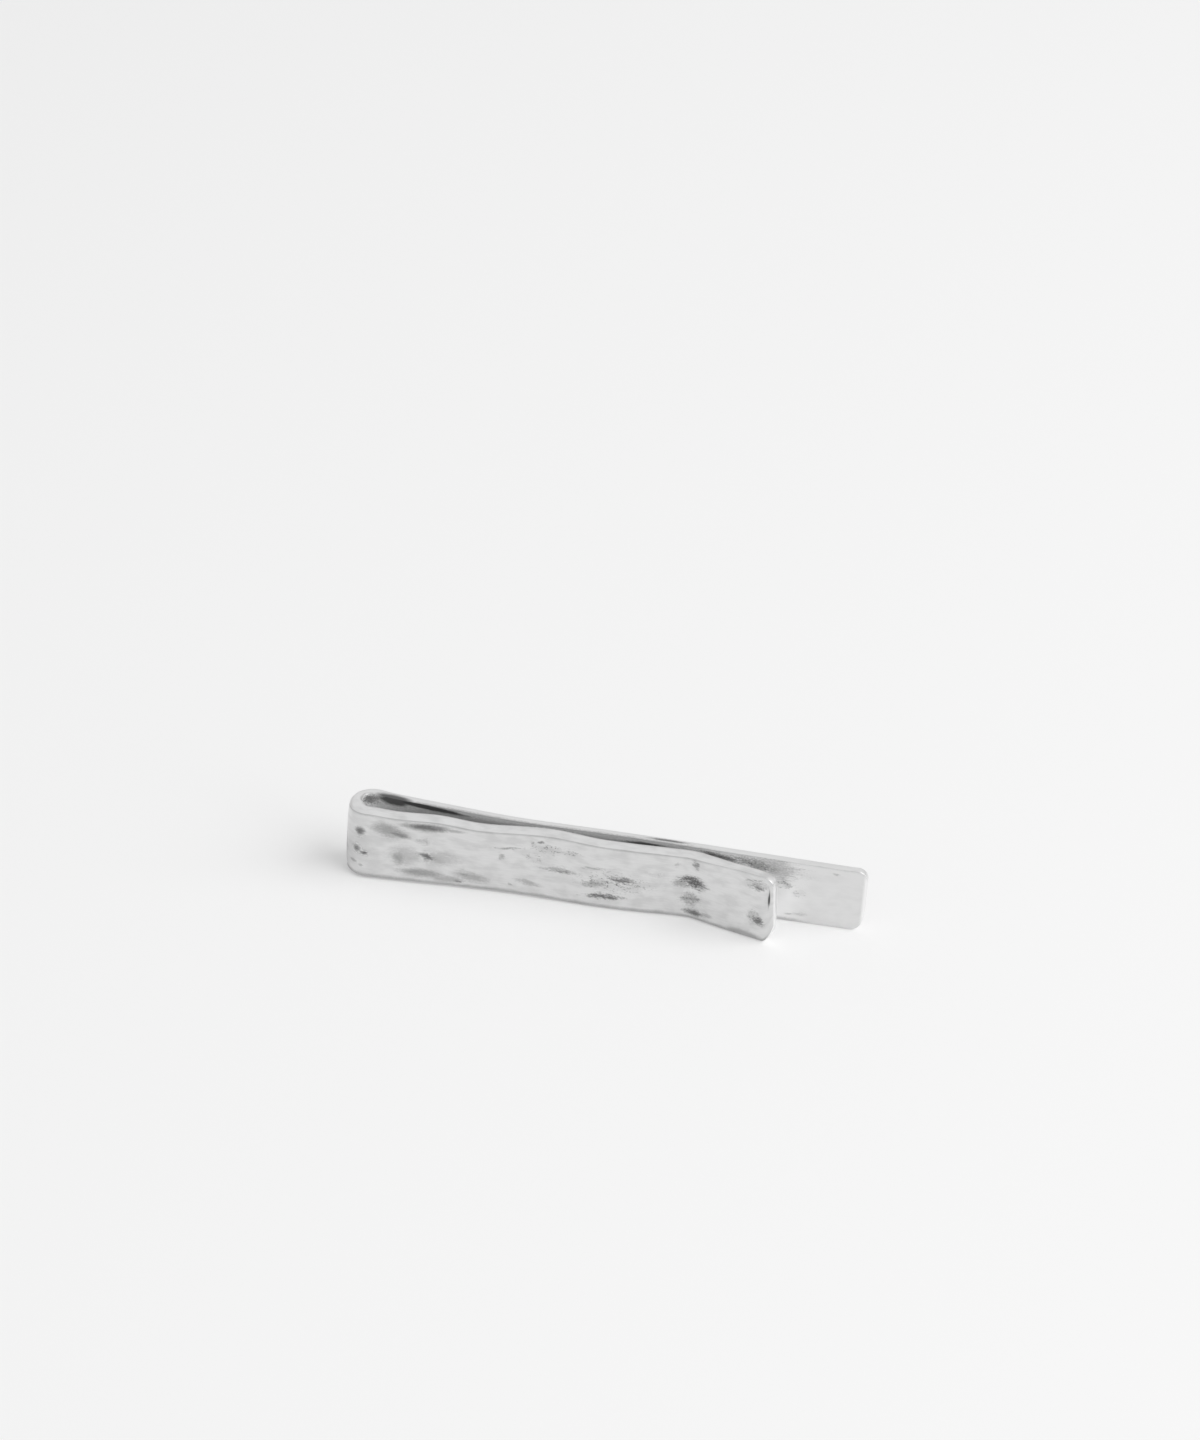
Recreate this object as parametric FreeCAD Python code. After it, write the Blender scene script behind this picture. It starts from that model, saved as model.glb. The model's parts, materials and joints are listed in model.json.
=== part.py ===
"""Tie clip: one hammered metal strip folded into a hairpin, in millimetres.

The clip stands on its lower long edge. +X runs from the bend to the open end, +Y from the front bar to the
rear leg, and +Z up across the strip's width. The origin is the middle of the clip's footprint.
"""
import FreeCAD, Part
import math
import os

# Overall sizes
clip_length = 55.0            # bend to rear tip
front_length = 46.2           # bend to front tip
strip_width = 8.1             # the strip's width at the bend
rear_tip_width = 7.2          # the rear leg narrows to this

# Thickness of the strip, thinned towards the rear leg
front_thickness = 1.35
bend_thickness = 1.15
rear_thickness = 0.9
edge_ease_share = 0.3         # how far the long edges are filed off, of the thickness

# The bend, and how far each leg leans in past parallel where it leaves the bend
bend_gap = 2.6                # between the legs at the bend
bend_splay = 0.3              # the bend's outer face leans out this much at its lower edge
front_lean = 2.5              # degrees
rear_lean = 11.0              # degrees

# The legs in plan
rear_rise = 0.48              # from the bend's centre to the rear leg's inner face
pinch_length = 36.5           # bend to the pinch
pinch_gap = 0.8               # between the legs at the pinch
crease_radius = 4.0           # of the centre line, where the lip turns out
lip_angle = 17.5              # degrees

# The tips
front_corner_radius = 1.15
rear_top_corner_radius = 1.3
rear_low_corner_radius = 2.1
tip_round_share = 0.3         # rounding of the end faces, of the thickness
front_tip_skew = -0.4         # how far the upper corner stands past the lower one
rear_tip_skew = 0.25

# Hammering and finish
hollow_depth = 0.14           # deepest hammer hollow
hollow_rim_share = 0.18       # the hollows fade out over this much of the face at its long edges
foot_grind = 0.05             # taken off the lower edge, so that the clip stands flat

# Steps of the lofted skins, and how far a cutter runs past what it cuts
front_pitch = 0.9
rear_pitch = 4.0
face_points = 15
tip_steps = 6
overrun = 2.0

# Rear leg's centre line: share of clip_length from the bend, share of its offset at the tip
rear_line_shares = ((0.19, 1.2), (0.32, 0.72), (0.46, 0.86), (0.61, 1.0))

# Front bar's centre line: share of pinch_length from the bend, gap to the rear leg as a share of pinch_gap
front_line_shares = ((0.22, 1.9), (0.425, 1.42), (0.6, 1.4), (0.753, 1.55), (0.868, 1.38))

# Thickness along the front bar: share of its run, share of the way from bend to front thickness
front_thickening_shares = ((0.0, 0.0), (0.18, 1.0), (1.0, 1.0))

# Thickness along the rear leg: share of its run, share of the way from bend to rear thickness
rear_thinning_shares = ((0.0, 0.0), (0.2, 1.0), (1.0, 1.0))

# Wavy upper edge of the front bar: share of its run, share of strip_width
front_crown_shares = ((0.0, 1.0), (0.07, 0.982), (0.165, 1.0), (0.275, 0.948), (0.44, 1.0),
                      (0.58, 0.951), (0.77, 0.936), (0.95, 0.982), (1.0, 0.982))

# How much of the bend's splay is left along each leg, and how much of its tip's skew has come in
splay_left_shares = ((0.0, 1.0), (0.2, 0.0), (1.0, 0.0))
skew_shares = ((0.0, 0.0), (0.85, 0.0), (1.0, 1.0))

# Hammer hollows on the front bar's outer face: centre along the run, centre up the face,
# half length along the run, half height up the face, depth of hollow_depth
hollow_shares = (
    (0.06, 0.72, 0.055, 0.19, 0.7),
    (0.15, 0.87, 0.085, 0.17, 0.8),
    (0.07, 0.36, 0.045, 0.21, 0.5),
    (0.145, 0.43, 0.05, 0.18, 0.9),
    (0.135, 0.17, 0.08, 0.17, 0.7),
    (0.26, 0.21, 0.07, 0.2, 0.7),
    (0.26, 0.58, 0.06, 0.22, 0.4),
    (0.41, 0.72, 0.12, 0.24, 0.6),
    (0.39, 0.23, 0.06, 0.19, 0.6),
    (0.465, 0.48, 0.065, 0.17, 0.7),
    (0.59, 0.4, 0.09, 0.2, 1.0),
    (0.575, 0.18, 0.07, 0.17, 0.9),
    (0.66, 0.7, 0.08, 0.24, 0.5),
    (0.69, 0.34, 0.06, 0.24, 0.4),
    (0.785, 0.58, 0.06, 0.2, 1.0),
    (0.785, 0.3, 0.045, 0.17, 0.8),
    (0.795, 0.84, 0.035, 0.16, 0.6),
    (0.81, 0.14, 0.06, 0.15, 0.8),
    (0.88, 0.45, 0.05, 0.28, 0.4),
    (0.945, 0.8, 0.045, 0.18, 0.8),
    (0.955, 0.32, 0.045, 0.2, 0.9),
)

# Sizes that follow from the ones above
bend_radius = (bend_gap + bend_thickness) / 2
bend_outer = bend_gap / 2 + bend_thickness
bend_x = bend_outer + bend_splay - clip_length / 2
rear_tip_x = clip_length / 2 - rear_tip_skew * (rear_tip_width - rear_top_corner_radius) / strip_width
front_tip_x = front_length - clip_length / 2
pinch_x = pinch_length - clip_length / 2
lip_turn = math.radians(lip_angle)
crease_run = crease_radius * math.sin(lip_turn)
crease_drop = crease_radius * (1 - math.cos(lip_turn))
lip_run = front_tip_x - pinch_x - crease_run
lip_drop = lip_run * math.tan(lip_turn)
pinch_rise = rear_rise - pinch_gap - front_thickness / 2
lip_low = pinch_rise - crease_drop - lip_drop - front_thickness / 2 * math.cos(lip_turn)
bend_y = -(bend_outer + bend_splay + lip_low) / 2
rear_offset = rear_rise + rear_thickness / 2
up = FreeCAD.Vector(0, 0, 1)


def smooth(table, share):
    """Read a table of (share, value) rows, easing from each row to the next."""
    for (start, before), (end, after) in zip(table, table[1:]):
        if share <= end:
            step = (share - start) / (end - start)
            return before + (after - before) * step * step * (3 - 2 * step)
    return table[-1][1]


def plan(x, rise):
    """A point of the plan, with its rise measured from the bend's centre."""
    return FreeCAD.Vector(x, bend_y + rise, 0)


def heading(degrees):
    """A unit direction in plan, turned from +X."""
    turn = math.radians(degrees)
    return FreeCAD.Vector(math.cos(turn), math.sin(turn), 0)


def line_through(points, first, last):
    """A smooth plan curve through points, with its directions at both ends."""
    curve = Part.BSplineCurve()
    curve.interpolate(Points=points, InitialTangent=first, FinalTangent=last)
    return curve.toShape()


def rear_line():
    """Centre line of the rear leg, from the bend to the tip."""
    points = [plan(bend_x, 0) + heading(90 - rear_lean) * bend_radius]
    for along, share in rear_line_shares:
        points.append(plan(along * clip_length - clip_length / 2, share * rear_offset))
    points.append(plan(rear_tip_x, rear_offset))
    return [line_through(points, heading(-rear_lean), heading(0))]


def front_line():
    """Centre line of the front bar: a waved stretch to the pinch, the crease, and the straight lip."""
    points = [plan(bend_x, 0) + heading(270 + front_lean) * bend_radius]
    for along, share in front_line_shares:
        rise = rear_rise - share * pinch_gap - front_thickness / 2
        points.append(plan(along * pinch_length - clip_length / 2, rise))
    pinch = plan(pinch_x, pinch_rise)
    points.append(pinch)
    centre = pinch - heading(90) * crease_radius
    halfway = centre + heading(90 - lip_angle / 2) * crease_radius
    turned = centre + heading(90 - lip_angle) * crease_radius
    tip = turned + heading(-lip_angle) * (lip_run / math.cos(lip_turn))
    return [
        line_through(points, heading(front_lean), heading(0)),
        Part.Arc(pinch, halfway, turned).toShape(),
        Part.LineSegment(turned, tip).toShape(),
    ]


def place_on(edges, distance, skew):
    """The point at a distance along chained edges, the way across the strip there, and the way up it."""
    for edge in edges[:-1]:
        if distance < edge.Length:
            break
        distance -= edge.Length
    else:
        edge = edges[-1]
    mark = edge.getParameterByLength(min(distance, edge.Length))
    along = edge.tangentAt(mark)
    return edge.valueAt(mark), up.cross(along), up + along * (skew / strip_width)


def drawn_in(radius, distance):
    """How far a rounded corner is drawn in, at a distance from the end."""
    if distance >= radius:
        return 0
    return radius - math.sqrt(radius ** 2 - (radius - distance) ** 2)


def section(place, thickness, low, top, front_splay=0, back_splay=0, relief=None):
    """Closed cross-section of the strip: two faces and two edges, with the corners filed off.

    The faces stand out by the splays at their lower ends, and the -Y face is set back by
    relief(share of its height).
    """
    point, across, rise = place
    half = thickness / 2
    ease = edge_ease_share * thickness

    def at(offset, height):
        return point + across * offset + rise * height

    corners = [
        at(-half, top - ease),
        at(ease - half, top),
        at(half - ease, top),
        at(half, top - ease),
        at(half + back_splay, low + ease),
        at(half - ease + back_splay, low),
        at(ease - half - front_splay, low),
        at(-half - front_splay, low + ease),
    ]
    if relief is None:
        return Part.makePolygon(corners + corners[:1])
    steps = [k / (face_points - 1) for k in range(face_points)]
    climb = corners[0] - corners[-1]
    face = Part.BSplineCurve()
    face.interpolate(
        Points=[corners[-1] + climb * step + across * relief(step) for step in steps],
        Parameters=steps,
    )
    return Part.Wire(Part.makePolygon(corners).Edges + [face.toShape()])


def grind(solid):
    """Grind the lower edge flat at the floor."""
    length, depth = clip_length + 2 * overrun, 2 * (bend_outer - lip_low) + 2 * overrun
    corner = FreeCAD.Vector(-length / 2, -depth / 2, -overrun)
    return solid.cut(Part.makeBox(length, depth, overrun, corner))


def tip_distances(run, round_off, pitch):
    """Distances of the sections along a leg: even ones, then closer ones round the tip's corners."""
    count = math.ceil((run - round_off) / pitch)
    even = [(run - round_off) * k / count for k in range(count)]
    return even + [run - round_off * (1 - math.sin(math.pi / 2 * k / tip_steps)) for k in range(tip_steps + 1)]


def make_rear_leg():
    """The long thin leg that goes behind the cloth."""
    edges = rear_line()
    run = sum(edge.Length for edge in edges)
    wires = []
    for distance in tip_distances(run, rear_low_corner_radius, rear_pitch):
        share, left = distance / run, run - distance
        full = bend_thickness + (rear_thickness - bend_thickness) * smooth(rear_thinning_shares, share)
        wires.append(section(
            place_on(edges, distance, rear_tip_skew * smooth(skew_shares, share)),
            full - 2 * drawn_in(tip_round_share * full, left),
            drawn_in(rear_low_corner_radius, left) - foot_grind,
            strip_width + (rear_tip_width - strip_width) * share - drawn_in(rear_top_corner_radius, left),
            back_splay=bend_splay * smooth(splay_left_shares, share),
        ))
    return grind(Part.makeLoft(wires, True))


def hammering(share, height):
    """Depth of the hammer hollows at a place on the front bar, fading to nothing at its long edges."""
    depth = 0
    for along, up_face, half_length, half_height, deep in hollow_shares:
        reach = ((share - along) / half_length) ** 2 + ((height - up_face) / half_height) ** 2
        if reach < 1:
            depth += hollow_depth * deep * (1 - reach) ** 2
    return depth * min(1, height / hollow_rim_share, (1 - height) / hollow_rim_share)


def make_front_bar():
    """The hammered bar that shows on the tie, with its pinch and lead-in lip."""
    edges = front_line()
    run = sum(edge.Length for edge in edges)
    wires = []
    for distance in tip_distances(run, front_corner_radius, front_pitch):
        share, left = distance / run, run - distance
        full = bend_thickness + (front_thickness - bend_thickness) * smooth(front_thickening_shares, share)
        corner = drawn_in(front_corner_radius, left)
        wires.append(section(
            place_on(edges, distance, front_tip_skew * smooth(skew_shares, share)),
            full - 2 * drawn_in(tip_round_share * full, left),
            corner - foot_grind,
            strip_width * smooth(front_crown_shares, share) - corner,
            front_splay=bend_splay * smooth(splay_left_shares, share),
            relief=lambda height: hammering(share, height),
        ))
    return grind(Part.makeLoft(wires, True))


def make_spring_bend():
    """The turn that joins the legs and grips the cloth."""
    centre = plan(bend_x, 0)
    outward = heading(90 - rear_lean)
    place = (centre + outward * bend_radius, outward, up)
    face = Part.Face(section(place, bend_thickness, -foot_grind, strip_width, back_splay=bend_splay))
    return grind(face.revolve(centre, up, 180 + rear_lean + front_lean))


os.makedirs("parts", exist_ok=True)
make_rear_leg().exportStep("parts/rear_leg.step")
make_spring_bend().exportStep("parts/spring_bend.step")
make_front_bar().exportStep("parts/front_bar.step")
print("bend centre", bend_x, bend_y)
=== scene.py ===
"""Looks of a hammered silver tie clip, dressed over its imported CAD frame.

Everything is in metres, in the frame of the CAD part: +X from the bend to the open end, +Y from
the front bar to the rear leg, +Z up across the strip's width. Only marks and ripples are given in
millimetres. The strip is measured on the frame from the front tip, round the bend, to the rear
tip, and its skin is built as one grid that is cut into the three pieces.
"""

import json
import logging
import math
from dataclasses import dataclass, field
from enum import Enum

import bpy
import numpy as np
from mathutils import Matrix, Vector
from mathutils.bvhtree import BVHTree
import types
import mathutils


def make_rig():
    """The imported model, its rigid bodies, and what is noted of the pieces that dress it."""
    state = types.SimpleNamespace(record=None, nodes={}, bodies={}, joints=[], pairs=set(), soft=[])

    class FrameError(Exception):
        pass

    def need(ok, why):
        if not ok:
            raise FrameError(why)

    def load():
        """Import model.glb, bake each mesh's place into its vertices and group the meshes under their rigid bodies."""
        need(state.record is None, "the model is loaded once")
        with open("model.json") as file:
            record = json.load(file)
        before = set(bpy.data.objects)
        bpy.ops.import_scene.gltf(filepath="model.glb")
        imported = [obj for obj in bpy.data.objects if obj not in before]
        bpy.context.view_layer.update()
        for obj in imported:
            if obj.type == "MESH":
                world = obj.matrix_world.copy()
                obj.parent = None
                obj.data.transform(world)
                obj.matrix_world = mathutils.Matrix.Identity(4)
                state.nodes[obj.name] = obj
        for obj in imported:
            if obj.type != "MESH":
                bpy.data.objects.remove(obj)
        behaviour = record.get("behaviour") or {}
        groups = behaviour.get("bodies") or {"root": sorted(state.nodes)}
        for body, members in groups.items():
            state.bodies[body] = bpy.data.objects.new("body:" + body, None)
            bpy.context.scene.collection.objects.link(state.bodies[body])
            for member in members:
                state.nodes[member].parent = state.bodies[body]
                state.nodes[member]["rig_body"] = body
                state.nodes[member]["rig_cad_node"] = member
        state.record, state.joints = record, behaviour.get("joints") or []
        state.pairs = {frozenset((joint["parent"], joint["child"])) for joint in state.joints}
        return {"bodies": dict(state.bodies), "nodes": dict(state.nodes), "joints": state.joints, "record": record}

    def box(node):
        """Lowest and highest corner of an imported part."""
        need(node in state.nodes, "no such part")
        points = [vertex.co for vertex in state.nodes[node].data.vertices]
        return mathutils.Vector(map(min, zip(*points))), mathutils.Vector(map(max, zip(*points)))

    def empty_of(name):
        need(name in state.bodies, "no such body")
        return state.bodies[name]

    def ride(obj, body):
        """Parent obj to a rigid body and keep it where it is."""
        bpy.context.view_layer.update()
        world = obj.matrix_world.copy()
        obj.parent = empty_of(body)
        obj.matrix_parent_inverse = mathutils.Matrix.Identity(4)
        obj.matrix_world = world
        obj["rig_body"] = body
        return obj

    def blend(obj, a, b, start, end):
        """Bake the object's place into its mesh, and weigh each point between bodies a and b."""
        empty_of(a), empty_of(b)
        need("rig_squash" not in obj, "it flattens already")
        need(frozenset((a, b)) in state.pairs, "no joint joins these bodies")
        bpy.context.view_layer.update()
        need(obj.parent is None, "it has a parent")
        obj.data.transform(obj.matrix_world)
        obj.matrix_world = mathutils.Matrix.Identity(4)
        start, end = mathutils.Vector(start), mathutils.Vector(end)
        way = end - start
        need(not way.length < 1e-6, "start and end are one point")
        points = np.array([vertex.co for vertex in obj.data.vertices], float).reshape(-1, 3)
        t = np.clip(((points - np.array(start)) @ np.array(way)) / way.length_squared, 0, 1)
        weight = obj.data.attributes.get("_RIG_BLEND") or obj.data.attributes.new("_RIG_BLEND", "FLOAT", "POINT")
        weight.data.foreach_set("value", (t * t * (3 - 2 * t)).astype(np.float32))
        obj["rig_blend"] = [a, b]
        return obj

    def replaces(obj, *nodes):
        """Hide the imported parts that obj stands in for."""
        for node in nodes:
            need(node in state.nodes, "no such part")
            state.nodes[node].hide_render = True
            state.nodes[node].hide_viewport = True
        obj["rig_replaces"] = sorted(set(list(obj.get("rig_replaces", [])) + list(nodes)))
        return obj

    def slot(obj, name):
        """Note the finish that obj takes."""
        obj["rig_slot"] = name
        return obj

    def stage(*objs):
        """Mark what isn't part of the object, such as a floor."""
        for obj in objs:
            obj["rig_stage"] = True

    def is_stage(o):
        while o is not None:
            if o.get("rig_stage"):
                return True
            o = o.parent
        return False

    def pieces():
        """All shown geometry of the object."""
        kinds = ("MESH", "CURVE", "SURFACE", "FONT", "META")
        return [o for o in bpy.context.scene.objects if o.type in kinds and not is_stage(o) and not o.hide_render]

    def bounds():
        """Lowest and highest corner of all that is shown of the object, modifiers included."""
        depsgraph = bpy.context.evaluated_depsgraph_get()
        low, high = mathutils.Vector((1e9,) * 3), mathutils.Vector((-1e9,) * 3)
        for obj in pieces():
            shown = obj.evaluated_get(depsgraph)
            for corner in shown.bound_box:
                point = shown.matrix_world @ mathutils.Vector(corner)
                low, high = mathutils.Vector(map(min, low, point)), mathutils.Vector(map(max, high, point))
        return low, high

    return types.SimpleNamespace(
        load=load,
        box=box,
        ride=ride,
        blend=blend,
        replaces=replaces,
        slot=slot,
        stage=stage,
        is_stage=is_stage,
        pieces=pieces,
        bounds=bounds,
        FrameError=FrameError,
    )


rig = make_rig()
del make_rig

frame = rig.load()
cad_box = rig.bounds()
log = logging.getLogger("tie_clip")

MM = 0.001
UP = np.array([0.0, 0.0, 1.0])
FAR = 20 * MM  # how far off the part a probe starts
BELL_REACH = 3  # how many widths of a bell are summed to each side
END_SPAN = 1.5  # where the fade at an end is over, in reaches from the end
SLOT = "silver"
SIZE_FILE = "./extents.json"

Block = tuple[np.ndarray, np.ndarray]
Grey = tuple[float, float, float]


class Side(Enum):
    """The sides of the strip's cross-section, in the order of its outline."""

    OUTER = 0
    TOP = 1
    INNER = 2
    LOWER = 3


class Layer(Enum):
    """Values kept on the skin's points for the finishes to read."""

    PLACE = "strip_place"
    # Cover, tone and rub carry oxide and painted shade alike.
    COVER = "oxide_cover"
    TONE = "oxide_tone"
    RUB = "oxide_rub"
    SPECKLE = "speckle"
    # Brighter metal, with painted highlights at the tips and painted light in the gap.
    POLISH = "polish"
    DULL = "gap_dull"
    HAMMERED = "hammered"


class Surface(Enum):
    """Where on the strip a mark lies."""

    FRONT_FACE = "outer face of the front bar and the bend"
    GAP_FACE = "inner face of the rear leg and the bend"
    REAR_EDGE = "upper edge of the rear leg"


def ease(share: np.ndarray) -> np.ndarray:
    """Smooth step from 0 to 1, flat outside."""
    share = np.clip(share, 0.0, 1.0)
    return share * share * (3 - 2 * share)


def run_length(points: np.ndarray) -> np.ndarray:
    """Distance gone along a line of points, one value per point."""
    steps = np.linalg.norm(np.diff(points, axis=0), axis=1)
    return np.concatenate([[0.0], np.cumsum(steps)])


def near_end(left: np.ndarray, reach: float) -> np.ndarray:
    """How near an end is: 1 up to half the reach from it, and 0 past one and a half."""
    return ease(END_SPAN - left / reach)


def evened(values: np.ndarray, pitch: float, reach: float) -> np.ndarray:
    """Even out the frame's facets along a run of measured values.

    Args:
        values: One row per station, evenly spaced.
        pitch: Distance between stations.
        reach: Width of the bell that evens them out.

    Returns:
        The evened rows, with their slopes kept at both ends.
    """
    half = max(1, int(BELL_REACH * reach / pitch))
    bell = np.exp(-0.5 * (np.arange(-half, half + 1) * pitch / reach) ** 2)
    bell /= bell.sum()
    rows = values.reshape(len(values), -1)
    before = 2 * rows[0] - rows[half:0:-1]
    after = 2 * rows[-1] - rows[-2 : -half - 2 : -1]
    padded = np.concatenate([before, rows, after])
    columns = [np.convolve(padded[:, k], bell, mode="valid") for k in range(rows.shape[1])]
    return np.stack(columns, 1).reshape(values.shape)


@dataclass(frozen=True)
class Ripple:
    """A smooth unevenness over a face, as a sum of waves; the same on every run.

    The waves go from the longest to the shortest, and are longer along the strip by the stretch.
    """

    seed: int
    longest: float
    shortest: float
    stretch: float = 1.6
    waves: int = 14
    peak: float = 1.5

    def at(self, along: np.ndarray, height: np.ndarray) -> np.ndarray:
        """Find the unevenness at places on the face.

        Args:
            along: Lengths of the places on the strip.
            height: Their heights.

        Returns:
            Values mostly between -1 and 1.
        """
        dice = np.random.default_rng(self.seed)
        lengths = np.geomspace(self.longest, self.shortest, self.waves)
        turns = dice.uniform(0.0, 2 * math.pi, (self.waves, 2))
        total = np.zeros(np.broadcast(along, height).shape)
        for length, (way, phase) in zip(lengths, turns):
            run = math.cos(way) * along / self.stretch + math.sin(way) * height
            total += np.sin(2 * math.pi * run / length + phase)
        return total * math.sqrt(2.0 / self.waves) / self.peak


@dataclass(frozen=True)
class Corner:
    """A rounding at a leg's tip, by its reach along the leg and across it and by its fullness.

    A fullness of 2 is a quarter of an ellipse, and 1 is a straight cut.
    """

    along: float
    across: float
    fullness: float = 2.0

    def drawn_in(self, left: np.ndarray) -> np.ndarray:
        """How far the edge is drawn in, at a distance left to the end."""
        share = np.clip(1 - left / self.along, 0.0, 1.0)
        return self.across * (1 - (1 - share**self.fullness) ** (1 / self.fullness))


@dataclass(frozen=True)
class ArrisShadeLine:
    """A painted dark line of shade along an arris, which fades towards the open end."""

    width: float
    dark: float
    fade_start: float
    fade_over: float
    faded: float

    def weight(self, x: np.ndarray, edge: np.ndarray) -> np.ndarray:
        """Weight of the line at a length on the strip and a distance from the arris."""
        fade = ease((x - self.fade_start) / self.fade_over)
        return np.exp(-((edge / self.width) ** 2)) * (1 - (1 - self.faded) * fade)


@dataclass(frozen=True)
class Mark:
    """A hammer dent with dark oxide left in it, or a band of painted shade, placed by its length and height on the
    strip.

    On an edge, the height goes from -1 at the outer arris to 1 at the inner one. Sink is how
    deep the dent is for its height and darkness, rub how far the oxide was rubbed into streaks and
    grains, and solid how evenly it covers. The last three values shape every mark: how far it
    narrows to its ends, how fast it fades, and how blunt its ends are.
    """

    along: float
    height: float
    half_length: float
    half_height: float
    dark: float = 0.0
    speckle: float = 0.0
    lean: float = 0.0
    sink: float = 0.05
    rub: float = 1.0
    solid: float = 1.0
    narrowing: float = 0.45
    fading: float = 0.95
    bluntness: float = 1.25

    def weight(self, x: np.ndarray, z: np.ndarray) -> np.ndarray:
        """Find the mark's soft weight at places on the face.

        Args:
            x: Lengths of the places on the strip.
            z: Their heights.

        Returns:
            The weight at each place, from 1 at the mark's middle to 0 outside.
        """
        way = x - self.along
        rise = z - self.height - self.lean * way
        share = (way / self.half_length) ** 2
        taper = self.half_height * (1 - self.narrowing * np.minimum(share, 1.0))
        return np.exp(-self.fading * (share**self.bluntness + (rise / taper) ** 2))


MARKED_SIDE = {
    Surface.FRONT_FACE: Side.OUTER,
    Surface.GAP_FACE: Side.INNER,
    Surface.REAR_EDGE: Side.TOP,
}

MARKS: dict[Surface, tuple[Mark, ...]] = {}

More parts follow.
